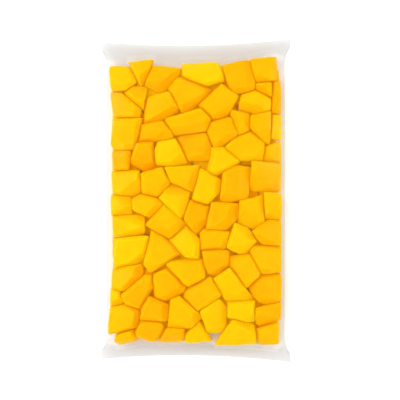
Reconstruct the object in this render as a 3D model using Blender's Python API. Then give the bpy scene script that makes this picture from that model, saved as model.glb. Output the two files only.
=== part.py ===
"""A clear pillow bag of mango chunks, lying flat on its back, as one closed solid. Metres, +Z up.

The bag is a tube of film, sealed flat across both ends and drawn tight over its
contents. The solid is a smooth core with its two seal strips, the chunks that
press against the film fused on all round, and the underside cut level where the
bag lies on the table. +Y runs along the bag and the origin is the middle of its
underside.
"""

import math
import random

import bmesh
import bpy
from mathutils import Matrix, Vector

# The bag
BAG_LENGTH = 0.320  # corner to corner along its longer side
SEAL_WIDTH = 0.187  # the tube laid flat, as it stays at the seals
BODY_WIDTH = 0.177  # the filled tube is narrower
BAG_HEIGHT = 0.042
END_DIP = 0.005  # how far the middle of each end lies inside its corners
END_SKEW = 0.0015  # how far each end slants out towards the longer side
SEAL_DEPTH = 0.009
SEAL_THICKNESS = 0.0012
SEAL_HEIGHT = 0.008  # middle of the seal strips above the table
FLARE_LENGTH = 0.034  # over which the body widens to the seal
WAIST_HEIGHT = 0.017  # where the filled body is widest
SIDE_POWER = 2.6  # fullness across the bag
END_POWER = 6.0  # fullness along the bag
UNDER_POWER = 0.45  # the underside is flatter than the top
UNDER_SINK = 0.0018  # how far it would hang below the table, had the table not pressed it level
CORE_ACROSS = 14
CORE_ALONG = 22
BODY_REACH = BAG_LENGTH / 2 - SEAL_DEPTH - END_SKEW  # from the middle to a seal, at the corners
EDGE = 0.985  # share of the width or length that chunks can fill

# The chunks that show at the film
RELIEF = 0.003  # how far a chunk stands out of the core
CHUNK_SIDE = 0.0235
CHUNK_SPREAD = 0.003
CHUNK_DEPTH = 0.015
CHUNK_OUTLINES = (4, 4, 4, 4, 5, 3)  # corners of the cut faces
CHUNK_TAPER = (0.82, 0.94)  # outer face to inner face
CHUNK_STRETCH = (0.88, 1.12)
CHUNK_ROWS = 12
CHUNK_COLUMNS = 7
ROW_PITCH = 0.0238
COLUMN_PITCH = 0.0245
ROW_STAGGER = 0.006  # every second row is moved across by twice this
CHUNK_SHIFT = 0.0025
CHUNK_TILT = math.radians(9)
SEED = 41

MANGO = (0.965, 0.55, 0.011, 1.0)


def clear_scene():
    for item in list(bpy.data.objects):
        bpy.data.objects.remove(item, do_unlink=True)


def new_collection(name):
    collection = bpy.data.collections.new(name)
    bpy.context.scene.collection.children.link(collection)
    return collection


def new_object(name, mesh_maker, collection):
    """Adds an object whose mesh the given function fills."""
    mesh = bpy.data.meshes.new(name)
    shape = bmesh.new()
    mesh_maker(shape)
    shape.to_mesh(mesh)
    shape.free()
    item = bpy.data.objects.new(name, mesh)
    collection.objects.link(item)
    return item


def mango_in_film():
    material = bpy.data.materials.new("mango_in_film")
    material.use_nodes = True
    surface = material.node_tree.nodes["Principled BSDF"]
    surface.inputs["Base Color"].default_value = MANGO
    surface.inputs["Roughness"].default_value = 0.35
    surface.inputs["Metallic"].default_value = 0.0
    return material


def swell(across, along):
    """How full the bag is, from 1 at its middle to 0 at its edges, each place given from -1 to 1."""
    over_width = max(0.0, 1 - abs(across) ** SIDE_POWER)
    over_length = max(0.0, 1 - abs(along) ** END_POWER)
    return math.sqrt(over_width * over_length)


def half_width(y):
    """Half the bag's width, which grows smoothly towards the seals."""
    nearness = 1 - (BODY_REACH - abs(y)) / FLARE_LENGTH
    nearness = min(1.0, max(0.0, nearness))
    flare = nearness * nearness * (3 - 2 * nearness)
    return (BODY_WIDTH + flare * (SEAL_WIDTH - BODY_WIDTH)) / 2


def reach(across):
    """How far the body runs from its middle to a seal, which dips between the corners."""
    return BODY_REACH + END_SKEW * across - END_DIP * (1 - across * across)


def film_point(across, along, side, relief=0.0):
    """A point on the filled body, on its upper side (1) or under it (-1), sunk by the relief."""
    y = along * reach(across)
    full = swell(across, along)
    waist = SEAL_HEIGHT + (WAIST_HEIGHT - SEAL_HEIGHT) * swell(0, along)
    if side > 0:
        rise = (BAG_HEIGHT - relief - waist) * full
    else:
        rise = (relief - UNDER_SINK - waist) * full**UNDER_POWER
    rise += side * SEAL_THICKNESS / 2 * (1 - full)
    x = across * (half_width(y) - relief * swell(0, along))
    return Vector((x, y, waist + rise))


def film_normal(across, along, side):
    step = 0.01
    over = film_point(across + step, along, side) - film_point(across - step, along, side)
    up = film_point(across, along + step, side) - film_point(across, along - step, side)
    return side * over.cross(up).normalized()


def core(shape):
    """The bag's smooth inside, from a doubled sheet: its last row at each end is the seal strip."""
    bmesh.ops.create_grid(shape, x_segments=CORE_ACROSS, y_segments=CORE_ALONG, size=1.0)
    upper = list(shape.verts)
    doubled = bmesh.ops.extrude_face_region(shape, geom=list(shape.faces), use_keep_orig=True)
    lower = [item for item in doubled["geom"] if isinstance(item, bmesh.types.BMVert)]
    body_rows = 1 - 2 / CORE_ALONG
    for side, sheet in ((1, upper), (-1, lower)):
        for vert in sheet:
            across = math.sin(vert.co.x * math.pi / 2)
            in_seal = abs(vert.co.y) > body_rows + 1e-4
            row = math.copysign(1.0, vert.co.y) if in_seal else vert.co.y / body_rows
            place = film_point(across, math.sin(row * math.pi / 2), side, RELIEF)
            if in_seal:
                place.y += math.copysign(SEAL_DEPTH, row)
            vert.co = place
    bmesh.ops.recalc_face_normals(shape, faces=list(shape.faces))


def chunk(shape, dice):
    """A cut piece of mango, standing on its broad face, with few flat sides."""
    side = CHUNK_SIDE + dice.uniform(-CHUNK_SPREAD, CHUNK_SPREAD)
    radius = side / math.sqrt(2)
    bmesh.ops.create_cone(
        shape,
        cap_ends=True,
        segments=dice.choice(CHUNK_OUTLINES),
        radius1=radius,
        radius2=radius * dice.uniform(*CHUNK_TAPER),
        depth=CHUNK_DEPTH,
    )
    stretch = dice.uniform(*CHUNK_STRETCH)
    bmesh.ops.scale(shape, verts=shape.verts, vec=(stretch, 1 / stretch, 1.0))


def held_in(corner):
    """The nearest place for a chunk's corner that the film leaves it, straight in from the side."""
    widest = half_width(corner.y)
    across = min(EDGE, max(-EDGE, corner.x / widest))
    along = min(EDGE, max(-EDGE, corner.y / reach(across)))
    upper = film_point(across, along, 1)
    lower = film_point(across, along, -1)
    return Vector((upper.x, upper.y, min(upper.z, max(lower.z, corner.z))))


def place_chunk(collection, dice, across, along, side):
    """Presses one chunk against the inside of the film, with no corner outside it."""
    outward = film_normal(across, along, side)
    turn = Matrix.Rotation(dice.uniform(0, math.tau), 4, "Z")
    lean = Matrix.Rotation(dice.uniform(-CHUNK_TILT, CHUNK_TILT), 4, "X")
    facing = outward.to_track_quat("Z", "Y").to_matrix().to_4x4()
    middle = film_point(across, along, side) - outward * (CHUNK_DEPTH / 2 - RELIEF / 2)
    item = new_object("chunk", lambda shape: chunk(shape, dice), collection)
    item.data.transform(Matrix.Translation(middle) @ facing @ lean @ turn)
    for vert in item.data.vertices:
        vert.co = held_in(vert.co)


def lay_chunks(collection):
    """Rows of chunks over the bag, under it and down both of its sides."""
    dice = random.Random(SEED)
    half_body = BODY_REACH - END_DIP
    for row in range(CHUNK_ROWS):
        row_y = (row - (CHUNK_ROWS - 1) / 2) * ROW_PITCH
        row_x = ROW_STAGGER * (-1) ** row - (CHUNK_COLUMNS - 1) / 2 * COLUMN_PITCH
        for column in range(CHUNK_COLUMNS):
            for side in (1, -1):
                x = row_x + column * COLUMN_PITCH + dice.uniform(-CHUNK_SHIFT, CHUNK_SHIFT)
                y = row_y + dice.uniform(-CHUNK_SHIFT, CHUNK_SHIFT)
                place_chunk(collection, dice, x / half_width(y), y / half_body, side)
        for edge in (EDGE, -EDGE):
            place_chunk(collection, dice, edge, row_y / half_body, 1)


def join_chunks(bag, chunks):
    """Makes the core and its chunks one body, and clears the loose chunks away."""
    union = bag.modifiers.new("chunks", "BOOLEAN")
    union.operation = "UNION"
    union.operand_type = "COLLECTION"
    union.collection = chunks
    union.solver = "MANIFOLD"  # the exact solver loses faces among this many crossing chunks
    graph = bpy.context.evaluated_depsgraph_get()
    joined = bpy.data.meshes.new_from_object(bag.evaluated_get(graph))
    bag.modifiers.remove(union)
    bag.data = joined
    for item in list(chunks.objects):
        bpy.data.objects.remove(item, do_unlink=True)
    bpy.data.collections.remove(chunks)


def table_cutter(collection):
    """A block whose top is the level surface that the bag lies on."""
    size = BAG_LENGTH * 1.5
    cutter = new_object("table", lambda shape: bmesh.ops.create_cube(shape, size=size), collection)
    cutter.location = (0, 0, -size / 2)
    cutter.hide_render = True
    cutter.display_type = "WIRE"
    return cutter


def main():
    clear_scene()
    bag_parts = new_collection("mango_chunk_bag")
    cutters = new_collection("cutters")
    chunks = new_collection("chunks")
    bag = new_object("mango_bag", core, bag_parts)
    bag.data.materials.append(mango_in_film())
    lay_chunks(chunks)
    join_chunks(bag, chunks)
    rest = bag.modifiers.new("rest_on_table", "BOOLEAN")
    rest.operation = "DIFFERENCE"
    rest.solver = "MANIFOLD"
    rest.object = table_cutter(cutters)


main()
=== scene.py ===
"""A clear pillow bag of mango chunks lying flat on a white table. Metres, +Z up, +Y along the bag.

The fruit is cut first: the pieces that lie against the shown side, then a layer under them.
The film is then drawn tight over all of it. Both take the place of the bag's one solid.
"""

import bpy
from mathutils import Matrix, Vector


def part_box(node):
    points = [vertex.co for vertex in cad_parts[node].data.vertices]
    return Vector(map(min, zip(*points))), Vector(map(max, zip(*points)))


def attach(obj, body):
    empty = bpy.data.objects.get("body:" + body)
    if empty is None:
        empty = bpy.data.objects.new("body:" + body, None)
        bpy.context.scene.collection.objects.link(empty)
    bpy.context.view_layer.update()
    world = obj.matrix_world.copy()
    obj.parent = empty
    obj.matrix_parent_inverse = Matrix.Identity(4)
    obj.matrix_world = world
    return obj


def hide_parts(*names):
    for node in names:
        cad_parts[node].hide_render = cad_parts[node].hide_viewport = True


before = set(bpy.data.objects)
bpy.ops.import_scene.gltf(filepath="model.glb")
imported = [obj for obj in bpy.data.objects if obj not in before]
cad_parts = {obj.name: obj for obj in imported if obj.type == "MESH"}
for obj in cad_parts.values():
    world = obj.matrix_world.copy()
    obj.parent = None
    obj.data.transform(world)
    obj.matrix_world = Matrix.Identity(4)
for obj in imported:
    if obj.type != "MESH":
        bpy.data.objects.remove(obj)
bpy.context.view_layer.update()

import math
import random

import bmesh
import bpy
import numpy as np
from mathutils import Vector, noise
from mathutils.bvhtree import BVHTree

MM = 0.001
BAG = "mango_bag"
LOW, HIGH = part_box(BAG)

# The bag's form, from the size of its solid
BAG_LENGTH = HIGH.y - LOW.y
SEAL_WIDTH = HIGH.x - LOW.x
BAG_HEIGHT = HIGH.z - LOW.z
BODY_WIDTH = SEAL_WIDTH - 10 * MM  # the filled tube is narrower
END_DIP = 5 * MM  # how far the middle of each end lies inside its corners
END_SKEW = 1.5 * MM  # how far each end slants out towards the longer side
SEAL_DEPTH = 9 * MM
SEAL_HEIGHT = 8 * MM
WAIST_HEIGHT = 17 * MM  # where the filled body is widest
FLARE_LENGTH = 34 * MM  # over which the body widens to the seal
SIDE_POWER = 2.6  # fullness across the bag
END_POWER = 6.0  # fullness along the bag
UNDER_POWER = 0.45  # the underside is flatter than the top
BODY_REACH = BAG_LENGTH / 2 - SEAL_DEPTH - END_SKEW  # from the middle to a seal, at the corners

# The pieces that lie against the shown side: the corners of each, in mm from the bag's middle
SHOWN_PIECES = (
    ((-85, 132), (-64, 131), (-57, 118), (-69, 109), (-83, 112)),
    ((-63, 134), (-40, 139), (-44, 128), (-52, 117), (-60, 122)),
    ((-43, 132), (-16, 128), (-25, 118), (-33, 108), (-48, 116)),
    ((-12, 135), (17, 135), (26, 126), (26, 117), (9, 112), (-14, 124)),
    ((26, 130), (48, 137), (57, 117), (55, 108), (41, 104), (31, 112)),
    ((53, 137), (79, 141), (80, 119), (59, 116)),
    ((-65, 108), (-49, 107), (-52, 91), (-65, 99)),
    ((-84, 102), (-69, 105), (-56, 93), (-57, 82), (-75, 81), (-81, 90)),
    ((-47, 98), (-27, 104), (-17, 87), (-31, 80), (-51, 75)),
    ((-19, 114), (-3, 116), (12, 110), (13, 104), (7, 98), (-12, 87), (-20, 100)),
    ((25, 113), (41, 101), (34, 88), (19, 79), (4, 94)),
    ((46, 104), (60, 106), (74, 99), (73, 88), (43, 89)),
    ((60, 111), (68, 114), (74, 114), (74, 102), (63, 107)),
    ((76, 116), (84, 114), (84, 86), (75, 86)),
    ((-80, 80), (-53, 80), (-62, 49), (-76, 49), (-83, 59)),
    ((-51, 74), (-31, 78), (-23, 65), (-26, 60), (-44, 57), (-55, 59)),
    ((-29, 78), (4, 88), (13, 75), (10, 68), (-5, 66), (-25, 69)),
    ((16, 76), (27, 79), (37, 72), (39, 64), (25, 55), (16, 59), (12, 68)),
    ((36, 87), (53, 83), (53, 68), (43, 64), (39, 74)),
    ((54, 83), (74, 87), (73, 64), (67, 54), (60, 67), (53, 69)),
    ((75, 85), (84, 84), (84, 60), (74, 61)),
    ((-12, 60), (9, 65), (13, 41), (-8, 40), (-13, 50)),
    ((29, 52), (49, 67), (61, 66), (66, 51), (62, 40), (43, 39)),
    ((68, 52), (84, 58), (84, 37), (67, 39)),
    ((-82, 47), (-63, 49), (-65, 31), (-80, 32)),
    ((-56, 57), (-41, 58), (-38, 34), (-49, 30), (-63, 38)),
    ((-30, 59), (-18, 56), (-11, 43), (-26, 33), (-39, 35)),
    ((18, 48), (29, 50), (43, 38), (41, 33), (25, 23), (13, 31)),
    ((-26, 33), (3, 35), (1, 22), (-4, 10), (-22, 18), (-28, 27)),
    ((5, 30), (24, 19), (23, 8), (10, -4), (-1, 8)),
    ((28, 31), (52, 28), (50, 2), (24, 0)),
    ((62, 38), (84, 36), (84, 15), (70, 8), (54, 12), (57, 28)),
    ((-53, 26), (-31, 32), (-25, 18), (-36, 5), (-47, 10)),
    ((-83, 28), (-55, 28), (-54, 10), (-81, 7)),
    ((-83, 5), (-63, 3), (-62, -10), (-82, -13)),
    ((-62, -1), (-52, 4), (-36, 0), (-33, -4), (-47, -16), (-54, -13), (-62, -7)),
    ((-34, 3), (-23, 12), (-9, 9), (-12, -14), (-25, -7)),
    ((-31, -5), (-14, -19), (-26, -35), (-48, -23)),
    ((-5, 2), (11, -3), (9, -21), (2, -28), (-5, -25), (-11, -17)),
    ((17, -1), (41, -4), (37, -16), (25, -28), (12, -26)),
    ((44, 0), (65, 5), (67, -22), (42, -21)),
    ((67, 9), (84, 8), (84, -18), (69, -17)),
    ((-82, -16), (-50, -15), (-50, -33), (-80, -34)),
    ((68, -19), (84, -19), (84, -43), (64, -41), (54, -29)),
    ((41, -24), (53, -29), (60, -38), (53, -46), (43, -52), (30, -44), (34, -32)),
    ((12, -28), (32, -30), (32, -38), (25, -45), (7, -48), (5, -38)),
    ((-8, -25), (3, -38), (3, -53), (-11, -56), (-26, -40)),
    ((-42, -31), (-15, -51), (-29, -60), (-39, -66), (-49, -54), (-46, -41)),
    ((-76, -37), (-47, -35), (-48, -48), (-57, -61), (-67, -65), (-81, -60)),
    ((58, -45), (84, -46), (84, -70), (64, -72), (53, -51)),
    ((7, -49), (32, -48), (32, -65), (17, -72), (9, -70)),
    ((43, -53), (53, -52), (62, -70), (51, -80), (43, -76), (34, -62)),
    ((-22, -59), (8, -57), (10, -71), (-4, -82), (-15, -75), (-25, -66)),
    ((-42, -75), (-26, -67), (-10, -84), (-20, -92), (-34, -98), (-41, -86)),
    ((-82, -66), (-60, -62), (-59, -77), (-72, -87), (-82, -85)),
    ((-53, -78), (-42, -79), (-44, -88), (-55, -107), (-67, -102), (-73, -95)),
    ((-83, -88), (-73, -90), (-70, -101), (-84, -102)),
    ((-84, -106), (-68, -102), (-55, -108), (-59, -124), (-76, -129), (-86, -132)),
    ((-43, -93), (-28, -100), (-30, -118), (-53, -117), (-51, -104)),
    ((-22, -97), (-13, -96), (3, -110), (-4, -125), (-25, -123)),
    ((-7, -85), (14, -74), (25, -92), (4, -106), (-11, -95)),
    ((18, -75), (32, -65), (51, -89), (43, -97), (29, -97), (24, -88)),
    ((67, -73), (84, -74), (84, -97), (68, -101), (58, -93), (54, -85)),
    ((32, -98), (58, -99), (58, -112), (52, -119), (32, -115)),
    ((58, -111), (76, -102), (84, -105), (83, -119), (68, -124)),
    ((5, -107), (24, -101), (29, -115), (29, -128), (12, -130)),
    ((-52, -118), (-39, -117), (-29, -127), (-35, -137), (-44, -138), (-60, -131)),
    ((-76, -131), (-60, -126), (-56, -136), (-74, -142), (-80, -138)),
    ((-32, -127), (-11, -126), (-12, -138), (-35, -139)),
    ((3, -117), (11, -129), (17, -137), (-8, -139), (-10, -129)),
    ((32, -117), (45, -117), (59, -132), (55, -141), (21, -142), (20, -133)),
    ((59, -124), (68, -126), (82, -122), (82, -142), (61, -141)),
)

# The fruit
SEED = 7
FULL_FACE = 22 * MM  # a piece whose face has at least this side lies right against the film
SUNK = 5.5 * MM  # how deep the smallest pieces can lie under it
FACE_LEAN = 0.3  # rise over run that a shown face can lean out of line with the film
FACE_CLEARANCE = 0.8 * MM  # from a shown face's highest corner to the film
TOP_GAP = 5.8 * MM  # between the shown faces of two pieces
KNIFE_GAP = 0.06 * MM  # between two pieces at their widest
FOOT_REACH = 10  # mm that a piece can spread below its face, up to its neighbours
SHOULDER = (3.5 * MM, 6.5 * MM)  # below the face, where a piece has spread to its full width
LOWEST_SHOULDER = 6 * MM
LOWEST_FOOT = 4 * MM
LEAST_SIDE = 3 * MM  # from shoulder to foot
NEAR = 75 * MM  # pieces whose first corners are further apart can't touch
EDGE_ZONE = (74 * MM, 124 * MM)  # a corner further out than this lies along the bag's edge
EDGE_SPREAD = (0.7 * MM, 1 * MM)  # how little such a corner spreads towards that edge

# The cuts that slant from a shown edge down into the gaps
SLANT_COUNTS = (1, 2, 2, 3)  # on one piece
SLANT_ZONE = (80 * MM, 130 * MM)  # a side further out than this has none
SLANT_INSET = (3 * MM, 6 * MM)
SLANT_STEEPNESS = (0.9, 1.6)  # how far such a cut drops for each mm across
MOST_SLANTED = Vector((0.8, -0.6))  # the way that most of them face
SLANT_SCATTER = 0.7  # and how freely they stray from it
LEAST_DEPTH = 14 * MM  # about the least height of a shown piece
LEAST_FOOT = 6.5 * MM  # how much of its foot a cut leaves

# The layer under the shown one
LAYER_DEPTH = 19 * MM  # from the film down to it
LAYER_GAP = 0.8 * MM
LAYER_UNEVENNESS = 2 * MM
LOWER_GAP = 2.5 * MM  # between the upper faces of two of its pieces
LOWER_REACH = 120 * MM  # along the bag, within which a lower piece has to start
LOWER_SHOULDER = 2 * MM  # the lowest above the table
LOWER_SIDE = 1 * MM  # the least from shoulder to foot
UNDER_CLEARANCE = 1 * MM  # from the bag's underside to the fruit
LAYER_EDGES = [  # how far the layer reaches each way
    (Vector(way), reach * MM)
    for way, reach in (((1, 0), 83), ((-1, 0), 83), ((0, 1), 130), ((0, -1), 133))
]

# The finish of every piece
SHORTEST_EDGE = 2 * MM
FLATTEST_EDGE = math.radians(4)
EDGE_ROUNDING = 3.2 * MM  # round a broad face
SIDE_ROUNDING = 0.7 * MM  # down the sides
SIDEWAYS = 0.5  # an edge whose two faces tilt less than this together runs down the sides
BLUNT_EDGE = math.radians(15)  # and is left as it is below this angle
ROUNDING_SLIP = 0.2 * MM
UNEVENNESS = ((9 * MM, 0.6 * MM), (3 * MM, 0.12 * MM))  # size and height of the waves in cut faces

# The flesh's patterns
BLOTCH = 14 * MM
FIBRE = 1.6 * MM  # real fibres of about 0.3 mm wouldn't show, so they are drawn coarser
FIBRE_STRETCH = 0.88  # noise drawn out by 1 / (1 - 0.88), about eight times, along the grain

# The film
FILM_AROUND = 240
FILM_ALONG = 190
FINE_AROUND = 1441  # points from which the even ones are taken
FINE_ALONG = 2001
SEAL_ROWS = 6
FILM_THICKNESS = 0.15 * MM
FILM_CLEARANCE = 0.35 * MM
LOWEST_FRUIT = 1.5 * FILM_CLEARANCE
NEIGHBOUR_EASE = 0.25 * MM  # how much less the fruit beside a point counts than that in front of it
TAUT_ROUNDS = 900
CLEAR_ROUNDS = 16
CLEAR_STEP = 1.5 * MM  # about the distance from one point of the film to the next
CLEAR_AT = 6 * MM  # from the fruit, where the film is half way to its full milkiness
PLEAT_HEIGHT = 0.7 * MM
PLEAT_SIZE = (4.5 * MM, 45 * MM, 20 * MM)
WAVE_HEIGHT = 0.22 * MM
WAVE_SIZE = (7 * MM, 16 * MM, 7 * MM)

# The table
TABLE_SIZE = 3.0
TABLE_TOP = -0.3 * MM  # just clear of the bag's underside


# ---------------------------------------------------------------- materials

def linear(hex_colour):
    """An sRGB hex colour as the linear RGBA that the shaders take."""
    channels = [int(hex_colour[k:k + 2], 16) / 255 for k in (1, 3, 5)]
    flat = [c / 12.92 if c <= 0.04045 else ((c + 0.055) / 1.055) ** 2.4 for c in channels]
    return (*flat, 1.0)


def add_node(tree, kind, values=None, links=None, **settings):
    """Adds a node with its settings, the values of its sockets and what feeds them."""
    node = tree.nodes.new(kind)
    for name, value in settings.items():
        setattr(node, name, value)
    for socket, value in (values or {}).items():
        node.inputs[socket].default_value = value
    for socket, source in (links or {}).items():
        tree.links.new(source, node.inputs[socket])
    return node


def new_material(name):
    material = bpy.data.materials.new(name)
    material.use_nodes = True
    material.node_tree.nodes.clear()
    return material, material.node_tree


def ripe_mango():
    """Knife-cut ripe mango: a dense, moist, fibrous flesh that light soaks into, so that thin
    edges glow a clearer yellow and the gaps between pieces turn orange, helped by a faint painted
    glow."""
    material, tree = new_material("ripe_mango")
    place = add_node(tree, "ShaderNodeTexCoord")
    blotches = add_node(
        tree, "ShaderNodeTexNoise", {"Scale": 1 / BLOTCH, "Detail": 3.0, "Roughness": 0.55},
        {"Vector": place.outputs["Object"]},
    )
    ripeness = add_node(tree, "ShaderNodeAttribute", attribute_name="ripeness")
    shade = add_node(
        tree, "ShaderNodeMix", {"Factor": 0.5},
        {"A": blotches.outputs["Fac"], "B": ripeness.outputs["Fac"]},
    )
    # Fibres: noise drawn out along each piece's own grain
    grain = add_node(tree, "ShaderNodeAttribute", attribute_name="grain")
    along = add_node(
        tree, "ShaderNodeVectorMath",
        links={0: place.outputs["Object"], 1: grain.outputs["Vector"]}, operation="DOT_PRODUCT",
    )
    back = add_node(
        tree, "ShaderNodeMath", {1: -FIBRE_STRETCH}, {0: along.outputs["Value"]},
        operation="MULTIPLY",
    )
    drawn_out = add_node(
        tree, "ShaderNodeVectorMath",
        links={0: grain.outputs["Vector"], "Scale": back.outputs["Value"]}, operation="SCALE",
    )
    across = add_node(
        tree, "ShaderNodeVectorMath",
        links={0: place.outputs["Object"], 1: drawn_out.outputs["Vector"]}, operation="ADD",
    )
    fibres = add_node(
        tree, "ShaderNodeTexNoise", {"Scale": 1 / FIBRE, "Detail": 2.0},
        {"Vector": across.outputs["Vector"]},
    )
    shade = add_node(
        tree, "ShaderNodeMix", {"Factor": 0.25},
        {"A": shade.outputs["Result"], "B": fibres.outputs["Fac"]},
    )
    ridges = add_node(
        tree, "ShaderNodeBump", {"Strength": 0.25, "Distance": 0.3 * MM},
        {"Height": fibres.outputs["Fac"]},
    )
    flesh = add_node(tree, "ShaderNodeValToRGB", links={"Fac": shade.outputs["Result"]})
    flesh.color_ramp.elements[0].position = 0.25
    flesh.color_ramp.elements[0].color = linear("#E9A302")
    flesh.color_ramp.elements[1].position = 0.75
    flesh.color_ramp.elements[1].color = linear("#E9C406")
    # A painted glow: the faint emission stands for light that has soaked through from the pieces
    # around, and lifts the shade in the gaps
    surface = add_node(
        tree, "ShaderNodeBsdfPrincipled",
        {"Roughness": 0.4, "IOR": 1.36, "Specular IOR Level": 0.05, "Subsurface Weight": 1.0,
         "Subsurface Scale": 5.0 * MM, "Subsurface Radius": (1.0, 0.45, 0.1),
         "Emission Color": linear("#554B00"), "Emission Strength": 1.0},
        {"Base Color": flesh.outputs["Color"], "Normal": ridges.outputs["Normal"]},
    )
    add_node(tree, "ShaderNodeOutputMaterial", links={"Surface": surface.outputs["BSDF"]})
    return material


def polyethylene_film():
    """Blown polyethylene film: clear and glossy, with a faint milkiness where it stands off the
    fruit and where two layers are welded together in the seals."""
    material, tree = new_material("polyethylene_film")
    loose = add_node(tree, "ShaderNodeAttribute", attribute_name="loose")
    seal = add_node(tree, "ShaderNodeAttribute", attribute_name="seal")
    haze = add_node(
        tree, "ShaderNodeMath", {1: 0.002}, {0: loose.outputs["Fac"]}, operation="MULTIPLY",
    )
    haze = add_node(
        tree, "ShaderNodeMath", {1: 0.08}, {0: seal.outputs["Fac"], 2: haze.outputs["Value"]},
        operation="MULTIPLY_ADD",
    )
    tint = add_node(
        tree, "ShaderNodeMix", {"A": linear("#F6F6F6"), "B": linear("#EEEEEE")},
        {"Factor": seal.outputs["Fac"]}, data_type="RGBA",
    )
    clear = add_node(
        tree, "ShaderNodeBsdfTransparent", links={"Color": tint.outputs["Result"]},
    )
    milk = add_node(tree, "ShaderNodeBsdfDiffuse", {"Color": linear("#E4E4E5")})
    sheer = add_node(
        tree, "ShaderNodeMixShader",
        links={0: haze.outputs["Value"], 1: clear.outputs["BSDF"], 2: milk.outputs["BSDF"]},
    )
    # It reflects more where it is seen at a glance
    facing = add_node(tree, "ShaderNodeLayerWeight", {"Blend": 0.5})
    steep = add_node(
        tree, "ShaderNodeMath", {1: 4.0}, {0: facing.outputs["Facing"]}, operation="POWER",
    )
    glance = add_node(
        tree, "ShaderNodeMath", {1: 0.6, 2: 0.002}, {0: steep.outputs["Value"]},
        operation="MULTIPLY_ADD",
    )
    gloss = add_node(tree, "ShaderNodeBsdfGlossy", {"Roughness": 0.16})
    film = add_node(
        tree, "ShaderNodeMixShader",
        links={0: glance.outputs["Value"], 1: sheer.outputs["Shader"], 2: gloss.outputs["BSDF"]},
    )
    add_node(tree, "ShaderNodeOutputMaterial", links={"Surface": film.outputs["Shader"]})
    return material


def white_table():
    """A sheet of matt white laminate: even, without gloss."""
    material, tree = new_material("white_table")
    surface = add_node(
        tree, "ShaderNodeBsdfPrincipled",
        {"Base Color": linear("#FDFDFD"), "Roughness": 0.9, "Specular IOR Level": 0.1},
    )
    add_node(tree, "ShaderNodeOutputMaterial", links={"Surface": surface.outputs["BSDF"]})
    return material


# ---------------------------------------------------------------- the bag's form

def fullness(across, along):
    """How full the bag is, from 1 at its middle to 0 at its edges, each place from -1 to 1."""
    over_width = np.clip(1 - np.abs(across) ** SIDE_POWER, 0, 1)
    over_length = np.clip(1 - np.abs(along) ** END_POWER, 0, 1)
    return np.sqrt(over_width * over_length)


def half_width(y):
    """Half the bag's width, which grows smoothly towards the seals."""
    nearness = np.clip(1 - (BODY_REACH - np.abs(y)) / FLARE_LENGTH, 0, 1)
    flare = nearness**2 * (3 - 2 * nearness)
    return (BODY_WIDTH + flare * (SEAL_WIDTH - BODY_WIDTH)) / 2


def shown_height(x, y):
    """How high the bag's shown side is above the table here."""
    across = np.clip(x / half_width(y), -1, 1)
    along = np.clip(y / (BODY_REACH - END_DIP), -1, 1)
    return WAIST_HEIGHT + (BAG_HEIGHT - WAIST_HEIGHT) * fullness(across, along)


def shown_bottom(x, y):
    """How deep the pieces that show reach."""
    return shown_height(x, y) - LAYER_DEPTH


def bag_underside(x, y):
    """How high the lowest fruit is above the table here."""
    full = fullness(x / half_width(y), y / (BODY_REACH - END_DIP))
    return WAIST_HEIGHT * (1 - full**UNDER_POWER) + UNDER_CLEARANCE


def bag_surface(across, along, upper):
    """Points on the filled bag between its seals, as an array with x, y and z last."""
    across, along, upper = np.broadcast_arrays(across, along, upper)
    y = along * (BODY_REACH + END_SKEW * across - END_DIP * (1 - across**2))
    full = fullness(across, along)
    waist = SEAL_HEIGHT + (WAIST_HEIGHT - SEAL_HEIGHT) * fullness(0.0, along)
    rise = np.where(upper, (BAG_HEIGHT - waist) * full, -waist * full**UNDER_POWER)
    return np.stack([across * half_width(y), y, waist + rise], axis=-1)


# ---------------------------------------------------------------- outlines

def middle_of(outline):
    return sum(outline, Vector((0, 0))) / len(outline)


def side_middle(outline, k):
    """The middle of the side after this corner."""
    return (outline[k] + outline[(k + 1) % len(outline)]) / 2


def side_facing(outline, k):
    """Which way the side after this corner faces."""
    start, end = outline[k], outline[(k + 1) % len(outline)]
    facing = Vector((end.y - start.y, start.x - end.x)).normalized()
    return facing if facing.dot(start - middle_of(outline)) > 0 else -facing


def outline_area(outline):
    after = outline[1:] + outline[:1]
    return abs(sum(a.x * b.y - a.y * b.x for a, b in zip(outline, after))) / 2


def cut_away(shape, point, outward):
    """Takes away what lies beyond a plane, and gives the corners and edges of the cut."""
    everything = shape.verts[:] + shape.edges[:] + shape.faces[:]
    cut = bmesh.ops.bisect_plane(
        shape, geom=everything, plane_co=point, plane_no=outward, clear_outer=True, dist=1e-7,
    )
    return cut["geom_cut"]


def wrap(shape):
    """Puts a convex skin round the shape's corners, and drops those inside it."""
    hull = bmesh.ops.convex_hull(shape, input=shape.verts)
    inside = [item for item in hull["geom_interior"] if isinstance(item, bmesh.types.BMVert)]
    bmesh.ops.delete(shape, geom=inside, context="VERTS")


def parting_line(one, other):
    """The line midway in the widest straight gap between two outlines: which way it faces, from
    the first of them to the second, and how far that way it lies."""
    widest, line = -math.inf, None
    for outline in (one, other):
        for k, start in enumerate(outline):
            side = outline[(k + 1) % len(outline)] - start
            for facing in (Vector((side.y, -side.x)), Vector((-side.y, side.x))):
                facing.normalize()
                here = max(corner.dot(facing) for corner in one)
                there = min(corner.dot(facing) for corner in other)
                if there - here > widest:
                    widest, line = there - here, (facing, here + (there - here) / 2)
    return line


def trimmed(outline, lines, gap):
    """An outline cut back to its own side of each parting line, with its corners in order."""
    sheet = bmesh.new()
    for corner in outline:
        sheet.verts.new((*corner, 0))
    wrap(sheet)
    for facing, place in lines:
        way = Vector((*facing, 0))
        cut_away(sheet, way * (place - gap / 2), way)
    corners = [vert.co.xy.copy() for vert in sheet.verts]
    sheet.free()
    middle = middle_of(corners)
    return sorted(corners, key=lambda corner: math.atan2(*(corner - middle)))


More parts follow.
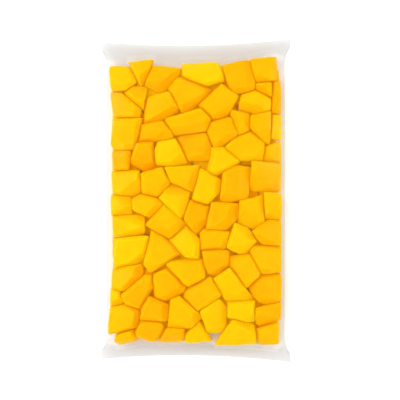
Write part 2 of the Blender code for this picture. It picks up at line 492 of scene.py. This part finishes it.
def spread(outline):
    """An outline moved outward, though hardly at all towards the bag's edges."""
    middle = middle_of(outline)
    corners = []
    for corner in outline:
        moved = corner + (corner - middle).normalized() * FOOT_REACH * MM
        for axis in (0, 1):
            if abs(moved[axis]) > abs(corner[axis]) > EDGE_ZONE[axis]:
                moved[axis] = corner[axis] + math.copysign(EDGE_SPREAD[axis], corner[axis])
        corners.append(moved)
    return corners


# ---------------------------------------------------------------- the fruit

def cleaned(piece):
    """The same piece as a closed convex mesh, with no very short or nearly flat edges."""
    middle = sum((vert.co for vert in piece.verts), Vector()) / len(piece.verts)
    corners = []
    for vert in piece.verts:
        if all((vert.co - other).length > SHORTEST_EDGE for other in corners):
            corners.append(vert.co.copy())
    piece.free()
    clean = bmesh.new()
    for corner in corners:
        clean.verts.new(corner - middle)  # the work below is most exact near the origin
    wrap(clean)
    bmesh.ops.dissolve_limit(
        clean, angle_limit=FLATTEST_EDGE, verts=clean.verts, edges=clean.edges,
    )
    bmesh.ops.recalc_face_normals(clean, faces=clean.faces)
    bmesh.ops.translate(clean, verts=clean.verts, vec=middle)
    return clean


def leaning_face(outline, dice):
    """The plane of a shown face, just inside the film and nearly along it, as z = a x + b y + c."""
    flat = np.array(outline)
    height = shown_height(flat[:, 0], flat[:, 1])
    places = np.column_stack([flat, np.ones(len(flat))])
    plane = np.linalg.lstsq(places, height, rcond=None)[0]
    plane[:2] += [dice.uniform(-FACE_LEAN, FACE_LEAN), dice.uniform(-FACE_LEAN, FACE_LEAN)]
    plane[2] -= np.max(places @ plane - height) + FACE_CLEARANCE
    smallness = 1 - min(1, outline_area(outline) / FULL_FACE**2)
    plane[2] -= smallness * dice.uniform(0.3, 1) * SUNK
    return plane


def height_on(plane, place):
    return plane[0] * place.x + plane[1] * place.y + plane[2]


def slanting_cut(piece, outline, k, face, dice):
    """Slices from a shown edge down to a lower line along that side of the piece."""
    outward = side_facing(outline, k)
    inset = dice.uniform(*SLANT_INSET)
    steepness = dice.uniform(*SLANT_STEEPNESS)
    drop = min(inset * steepness, LEAST_DEPTH - steepness * LEAST_FOOT)
    side = side_middle(outline, k)
    below = Vector((side.x, side.y, height_on(face, side) - drop))
    facing = Vector((outward.x * drop, outward.y * drop, inset)).normalized()
    cut = cut_away(piece, below, facing)
    rim = [item for item in cut if isinstance(item, bmesh.types.BMEdge)]
    if rim:
        bmesh.ops.edgenet_fill(piece, edges=rim)


def shown_piece(outline, lines, dice):
    """A piece with its broad face along the film, and cuts that slant off some of its sides."""
    face = leaning_face(outline, dice)
    piece = bmesh.new()
    for corner in trimmed(outline, lines, TOP_GAP):
        piece.verts.new((*corner, height_on(face, corner)))
    shoulder = dice.uniform(*SHOULDER)
    for corner in trimmed(spread(outline), lines, KNIFE_GAP):
        widest = height_on(face, corner) - shoulder
        foot = max(shown_bottom(*corner), LOWEST_FOOT)
        piece.verts.new((*corner, max(widest, LOWEST_SHOULDER)))
        piece.verts.new((*corner, min(widest - LEAST_SIDE, foot)))
    bmesh.ops.convex_hull(piece, input=piece.verts)
    scatter = [dice.uniform(-SLANT_SCATTER, SLANT_SCATTER) for _ in outline]
    sides = sorted(
        range(len(outline)), key=lambda k: side_facing(outline, k).dot(MOST_SLANTED) + scatter[k],
    )
    for k in sides[-dice.choice(SLANT_COUNTS):]:
        side = side_middle(outline, k)
        if abs(side.x) < SLANT_ZONE[0] and abs(side.y) < SLANT_ZONE[1]:
            slanting_cut(piece, outline, k, face, dice)
    return cleaned(piece)


def lower_piece(outline, lines, dice):
    """A piece of the layer underneath, which fills the height down to the bag's underside."""
    lines = lines + LAYER_EDGES
    piece = bmesh.new()
    for corner in trimmed(outline, lines, LOWER_GAP):
        top = shown_bottom(*corner) - LAYER_GAP - dice.uniform(0, LAYER_UNEVENNESS)
        piece.verts.new((*corner, top))
    shoulder = dice.uniform(*SHOULDER)
    for corner in trimmed(spread(outline), lines, KNIFE_GAP):
        widest = max(shown_bottom(*corner) - LAYER_GAP - shoulder, LOWER_SHOULDER)
        piece.verts.new((*corner, widest))
        piece.verts.new((*corner, min(bag_underside(*corner), widest - LOWER_SIDE)))
    bmesh.ops.convex_hull(piece, input=piece.verts)
    return cleaned(piece)


def kind_of(outline):
    """What a piece with this outline is sorted as."""
    if len(outline) == 4:
        return "mango_cubes"
    return "mango_wedges" if len(outline) < 6 else "mango_cheek_pieces"


def pack_fruit():
    """The pieces as {kind: [flat-sided mesh, ...]}: the layer that shows, and one under it with its
    outlines turned end for end, so that the gaps of one lie over the fruit of the other."""
    dice = random.Random(SEED)
    packed = {"mango_cubes": [], "mango_wedges": [], "mango_cheek_pieces": []}
    shown = [[Vector(corner) * MM for corner in outline] for outline in SHOWN_PIECES]
    under = [[-corner for corner in outline] for outline in shown]
    under = [outline for outline in under if min(abs(corner.y) for corner in outline) < LOWER_REACH]
    for layer, cut_piece in ((shown, shown_piece), (under, lower_piece)):
        for outline in layer:
            lines = [
                parting_line(outline, other)
                for other in layer
                if other is not outline and (other[0] - outline[0]).length < NEAR
            ]
            piece = cut_piece(outline, lines, dice)
            mesh = bpy.data.meshes.new("piece")
            piece.to_mesh(mesh)
            piece.free()
            packed[kind_of(outline)].append(mesh)
    return packed


def vertex_array(mesh):
    values = np.empty(len(mesh.vertices) * 3, np.float32)
    mesh.vertices.foreach_get("co", values)
    return values.reshape(-1, 3)


def tilt(edge):
    """How far the two cuts beside an edge face up or down together."""
    return abs(sum(face.normal.z for face in edge.link_faces))


def round_edges(piece, offset, chosen):
    edges = [edge for edge in piece.edges if chosen(edge)]
    bmesh.ops.bevel(
        piece, geom=edges, offset=offset, segments=1, affect="EDGES", clamp_overlap=True,
    )
    piece.normal_update()


def still_within(piece, mesh):
    """Whether rounding has thrown no corner of the piece out of its old box."""
    before = vertex_array(mesh)
    after = np.array([vert.co for vert in piece.verts])
    above = after >= before.min(axis=0) - ROUNDING_SLIP
    below = after <= before.max(axis=0) + ROUNDING_SLIP
    return bool(np.all(above & below))


def rounded(mesh):
    """A flat-sided piece with soft edges, most so round its broad faces."""
    piece = bmesh.new()
    piece.from_mesh(mesh)
    piece.normal_update()
    round_edges(piece, EDGE_ROUNDING, lambda edge: tilt(edge) > SIDEWAYS)
    round_edges(
        piece, SIDE_ROUNDING,
        lambda edge: tilt(edge) <= SIDEWAYS and edge.calc_face_angle(0) > BLUNT_EDGE,
    )
    if not still_within(piece, mesh):
        piece.clear()
        piece.from_mesh(mesh)
        round_edges(piece, SIDE_ROUNDING, lambda edge: True)
    return piece


def mark_flesh(piece, dice):
    """Gives a piece its own ripeness and the way its fibres run."""
    ripeness = piece.verts.layers.float.new("ripeness")
    grain = piece.verts.layers.float_vector.new("grain")
    own = dice.uniform(0, 1)
    fibres = Vector([dice.gauss(0, 1) for _ in range(3)]).normalized()
    for vert in piece.verts:
        vert[ripeness] = own
        vert[grain] = fibres


def soften(item):
    """Smooths the rounded edges and makes the cut faces slightly uneven."""
    smoothing = item.modifiers.new("soft", "SUBSURF")
    smoothing.levels = smoothing.render_levels = 2
    graph = bpy.context.evaluated_depsgraph_get()
    fine = bpy.data.meshes.new_from_object(item.evaluated_get(graph))
    item.modifiers.clear()
    item.data = fine
    points = vertex_array(fine)
    for point in points:
        for size, height in UNEVENNESS:
            point += noise.noise_vector(point / size) * height
    points[:, 2] = np.maximum(points[:, 2], LOWEST_FRUIT)
    fine.vertices.foreach_set("co", points.reshape(-1))
    fine.update()
    fine.shade_smooth()


def soft_pieces(name, meshes, dice):
    """Joins flat-sided pieces into one object of soft-edged fruit."""
    joined = bpy.data.meshes.new(name)
    fruit = bmesh.new()
    for mesh in meshes:
        piece = rounded(mesh)
        mark_flesh(piece, dice)
        piece.to_mesh(joined)
        piece.free()
        fruit.from_mesh(joined)
    fruit.to_mesh(joined)
    fruit.free()
    item = bpy.data.objects.new(name, joined)
    bpy.context.scene.collection.objects.link(item)
    soften(item)
    return item


# ---------------------------------------------------------------- the film

def even_stations(points, count):
    """Positions from 0 to 1 along a line of points that lie evenly by its true length."""
    steps = np.linalg.norm(np.diff(points, axis=0), axis=1)
    length = np.concatenate([[0], np.cumsum(steps)])
    return np.interp(np.linspace(0, length[-1], count), length, np.linspace(0, 1, len(points)))


def film_tube():
    """The smooth tube between the seals, as points[row, place round it, xyz]. Every row starts at
    the top middle and goes round by +X."""
    along = np.linspace(-1, 1, FINE_ALONG)
    turn = np.linspace(0, math.tau, FINE_AROUND)
    even = even_stations(bag_surface(0.0, along, True), FILM_ALONG)
    shares = np.linspace(0, 1, FINE_AROUND)
    rows = []
    for station in np.interp(even, np.linspace(0, 1, FINE_ALONG), along):
        loop = bag_surface(np.sin(turn), station, np.cos(turn) > 0)
        place = even_stations(loop, FILM_AROUND + 1)[:-1]
        rows.append([np.interp(place, shares, loop[:, axis]) for axis in range(3)])
    return np.array(rows).transpose(0, 2, 1)


def straight_out(points):
    """The direction straight out of the tube at each of its points."""
    around = np.roll(points, -1, axis=1) - np.roll(points, 1, axis=1)
    along = np.gradient(points, axis=0)
    facing = np.cross(around, along)
    facing /= np.linalg.norm(facing, axis=-1, keepdims=True) + 1e-12
    top = facing[len(points) // 2, 0, 2]
    return facing * np.sign(top)


def whole_mesh(items):
    """All the vertices and faces of several objects."""
    vertices, faces = [], []
    for item in items:
        start = len(vertices)
        vertices.extend(vert.co.copy() for vert in item.data.vertices)
        faces.extend([start + k for k in face.vertices] for face in item.data.polygons)
    return vertices, faces


def fruit_reach(points, facing, fruit):
    """How far out the fruit comes in front of each point of the tube, negative if inside it."""
    tree = BVHTree.FromPolygons(*whole_mesh(fruit))
    far, deep = 30 * MM, 14 * MM
    reach = np.full(points.shape[:2], -deep)
    for row in range(1, points.shape[0] - 1):
        for place in range(points.shape[1]):
            ray = Vector(facing[row, place])
            start = Vector(points[row, place]) + ray * far
            distance = tree.ray_cast(start, -ray, far + deep)[3]
            if distance is not None:
                reach[row, place] = far - distance
    return reach


def widest_near(reach):
    """Each value raised to nearly the largest around it, so that no fruit pokes out in between."""
    grown = reach.copy()
    for row_step in (-1, 0, 1):
        for step in (-1, 0, 1):
            beside = np.roll(reach, (row_step, step), axis=(0, 1))
            grown = np.maximum(grown, beside - NEIGHBOUR_EASE)
    return grown


def towards_seals(points, start, length):
    """Grows from 0 at this distance before the seals to 1 over the given length."""
    return np.clip((np.abs(points[..., 1]) - BODY_REACH + start) / length, 0, 1)


def give(points, facing):
    """How far the film can sink in at each point: little round its sides, more on its flat faces
    and most at its ends."""
    near_end = towards_seals(points, 30 * MM, 20 * MM)
    return (1.0 + 3.0 * facing[..., 2] ** 2 + 4.0 * near_end) * MM


def wave_at(place, size):
    """A smooth random height, up to 1 either way, in waves of this size along each axis."""
    return noise.noise(Vector(place / np.array(size)))


def ripples(points):
    """Fine pleats that run in from the seals and die out, and a faint waviness everywhere."""
    pleated = np.maximum(0, 1 - (BODY_REACH - np.abs(points[..., 1])) / FLARE_LENGTH)
    wave = np.zeros(points.shape[:2])
    for place in np.ndindex(wave.shape):
        pleat = PLEAT_HEIGHT * pleated[place] * wave_at(points[place], PLEAT_SIZE)
        wave[place] = pleat + WAVE_HEIGHT * wave_at(points[place], WAVE_SIZE)
    wave[:3] *= np.linspace(0, 1, 3)[:, None]
    wave[-3:] *= np.linspace(1, 0, 3)[:, None]
    return wave


def held_at_seals(out):
    """The film's first and last rows stay where they are."""
    out[0] = out[-1] = 0
    return out


def draw_tight(points, facing, reach):
    """Pulls the film in like a taut skin until the fruit stops it, and gives how far out of the
    smooth tube it ends up."""
    stop = np.maximum(widest_near(reach) + FILM_CLEARANCE, -give(points, facing))
    out = held_at_seals(np.maximum(stop, 0))
    for _ in range(TAUT_ROUNDS):
        film = points + out[..., None] * facing
        beside = np.roll(film, 1, axis=1) + np.roll(film, -1, axis=1)
        mean = film.copy()
        mean[1:-1] = (beside[1:-1] + film[2:] + film[:-2]) / 4
        pull = ((mean - film) * facing).sum(axis=-1)
        out = held_at_seals(np.maximum(out + pull, stop))
    out = held_at_seals(np.maximum(out + ripples(points), stop))
    down = -facing[..., 2]
    to_table = np.where(down > 0, points[..., 2] / np.maximum(down, 0.01), 1.0)
    return np.minimum(out, np.maximum(to_table, 0))


def looseness(out, reach):
    """How clear of the fruit the film is, from 0 where they are close to 1."""
    gap = out - widest_near(reach)
    away = np.where(gap < 2 * FILM_CLEARANCE, 0.0, 1.0)
    for _ in range(CLEAR_ROUNDS):
        near = np.minimum(np.roll(away, 1, axis=1), np.roll(away, -1, axis=1))
        near[1:-1] = np.minimum(near[1:-1], np.minimum(away[2:], away[:-2]))
        away = np.minimum(away, near + CLEAR_STEP)
    return np.clip(away / CLEAR_AT - 0.5, 0, 1) * np.clip(gap / CLEAR_AT - 0.5, 0, 1)


def welded_end(edge, way):
    """The rows of one seal, from the body outward, with the two layers flat against each other."""
    turn = np.arange(FILM_AROUND) * math.tau / FILM_AROUND
    layer = np.sign(np.round(np.cos(turn), 6))  # 1 on top, -1 underneath and 0 at the folds
    rows = []
    for step in range(1, SEAL_ROWS + 1):
        row = edge.copy()
        row[:, 1] += way * SEAL_DEPTH * step / SEAL_ROWS
        row[:, 2] = SEAL_HEIGHT + layer * FILM_THICKNESS
        rows.append(row)
    return np.array(rows)


def film_faces(rows):
    """The faces round the tube, and those that join its upper to its lower layer at both ends."""
    faces = []
    for row in range(rows - 1):
        for place in range(FILM_AROUND):
            here = row * FILM_AROUND + place
            after = row * FILM_AROUND + (place + 1) % FILM_AROUND
            faces.append((here, after, after + FILM_AROUND, here + FILM_AROUND))
    fold, underneath = FILM_AROUND // 4, FILM_AROUND // 2
    for start, order in ((0, -1), ((rows - 1) * FILM_AROUND, 1)):
        for k in range(fold, -fold, -1):
            upper = [start + place % FILM_AROUND for place in (k, k - 1)]
            lower = [start + (underneath - place) % FILM_AROUND for place in (k - 1, k)]
            corners = list(dict.fromkeys(upper + lower))  # the layers share a corner at each fold
            faces.append(corners[::order])
    return faces


def clear_film_bag(fruit):
    """The closed film tube with its two welded ends, as one skin."""
    tube = film_tube()
    facing = straight_out(tube)
    reach = fruit_reach(tube, facing, fruit)
    out = draw_tight(tube, facing, reach)
    body = tube + out[..., None] * facing
    points = np.concatenate([welded_end(body[0], -1)[::-1], body, welded_end(body[-1], 1)])
    end = np.ones((SEAL_ROWS, FILM_AROUND))
    loose = np.concatenate([end, looseness(out, reach), end])
    seal = loose * towards_seals(points, 24 * MM, 14 * MM)
    mesh = bpy.data.meshes.new("clear_film_bag")
    mesh.from_pydata(points.reshape(-1, 3).tolist(), [], film_faces(len(points)))
    for name, values in (("loose", loose), ("seal", seal)):
        layer = mesh.attributes.new(name, "FLOAT", "POINT")
        layer.data.foreach_set("value", values.reshape(-1).astype(np.float32))
    mesh.shade_smooth()
    shape = bmesh.new()
    shape.from_mesh(mesh)
    bmesh.ops.recalc_face_normals(shape, faces=shape.faces)
    shape.to_mesh(mesh)
    shape.free()
    item = bpy.data.objects.new("clear_film_bag", mesh)
    bpy.context.scene.collection.objects.link(item)
    return item


# ---------------------------------------------------------------- table, light and camera

def table():
    mesh = bpy.data.meshes.new("table")
    shape = bmesh.new()
    bmesh.ops.create_grid(shape, x_segments=8, y_segments=8, size=TABLE_SIZE)
    shape.to_mesh(mesh)
    shape.free()
    mesh.materials.append(white_table())
    item = bpy.data.objects.new("table", mesh)
    item.location.z = TABLE_TOP
    bpy.context.scene.collection.objects.link(item)


def softbox(name, place, size, power, diffuse=True, glossy=True):
    """A rectangular light that faces the bag, for matt surfaces, for glossy ones or for both."""
    light = bpy.data.lights.new(name, "AREA")
    light.shape = "RECTANGLE"
    light.size, light.size_y = size
    light.energy = power
    item = bpy.data.objects.new(name, light)
    item.location = place
    item.rotation_euler = (-Vector(place)).to_track_quat("-Z", "Y").to_euler()
    item.visible_diffuse = diffuse
    item.visible_glossy = glossy
    bpy.context.scene.collection.objects.link(item)


def studio():
    """An even white room, a large light from the left, and a narrow one along each side."""
    world = bpy.data.worlds.new("studio")
    bpy.context.scene.world = world
    world.use_nodes = True
    room = world.node_tree.nodes["Background"]
    room.inputs["Color"].default_value = linear("#FFFFFF")
    room.inputs["Strength"].default_value = 0.98
    softbox("key", (-0.58, 0.15, 1.3), (1.4, 1.4), 14, glossy=False)
    softbox("left", (-1.1, 0.3, 0.45), (0.25, 0.9), 6, diffuse=False)
    softbox("right", (1.2, 0.1, 0.4), (0.12, 0.8), 2.4)
    scene = bpy.context.scene
    scene.view_settings.view_transform = "Standard"
    # Light passes many layers of film and turns many corners between the pieces
    scene.cycles.max_bounces = 24
    scene.cycles.diffuse_bounces = 16
    scene.cycles.transparent_max_bounces = 24


def camera():
    """Straight above the bag, through a long lens."""
    lens = bpy.data.cameras.new("camera")
    lens.lens = 100
    lens.sensor_width = 36
    item = bpy.data.objects.new("camera", lens)
    item.location = (4.3 * MM, 0.5 * MM, 1.109)
    bpy.context.scene.collection.objects.link(item)
    bpy.context.scene.camera = item


def main():
    camera()
    studio()
    table()
    noise.seed_set(SEED)  # or its vectors would differ from run to run
    dice = random.Random(SEED)
    flesh = ripe_mango()
    fruit = [soft_pieces(name, meshes, dice) for name, meshes in pack_fruit().items()]
    for item in fruit:
        item.data.materials.append(flesh)
    film = clear_film_bag(fruit)
    film.data.materials.append(polyethylene_film())
    for item in fruit + [film]:
        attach(item, "root")
        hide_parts(BAG)


main()
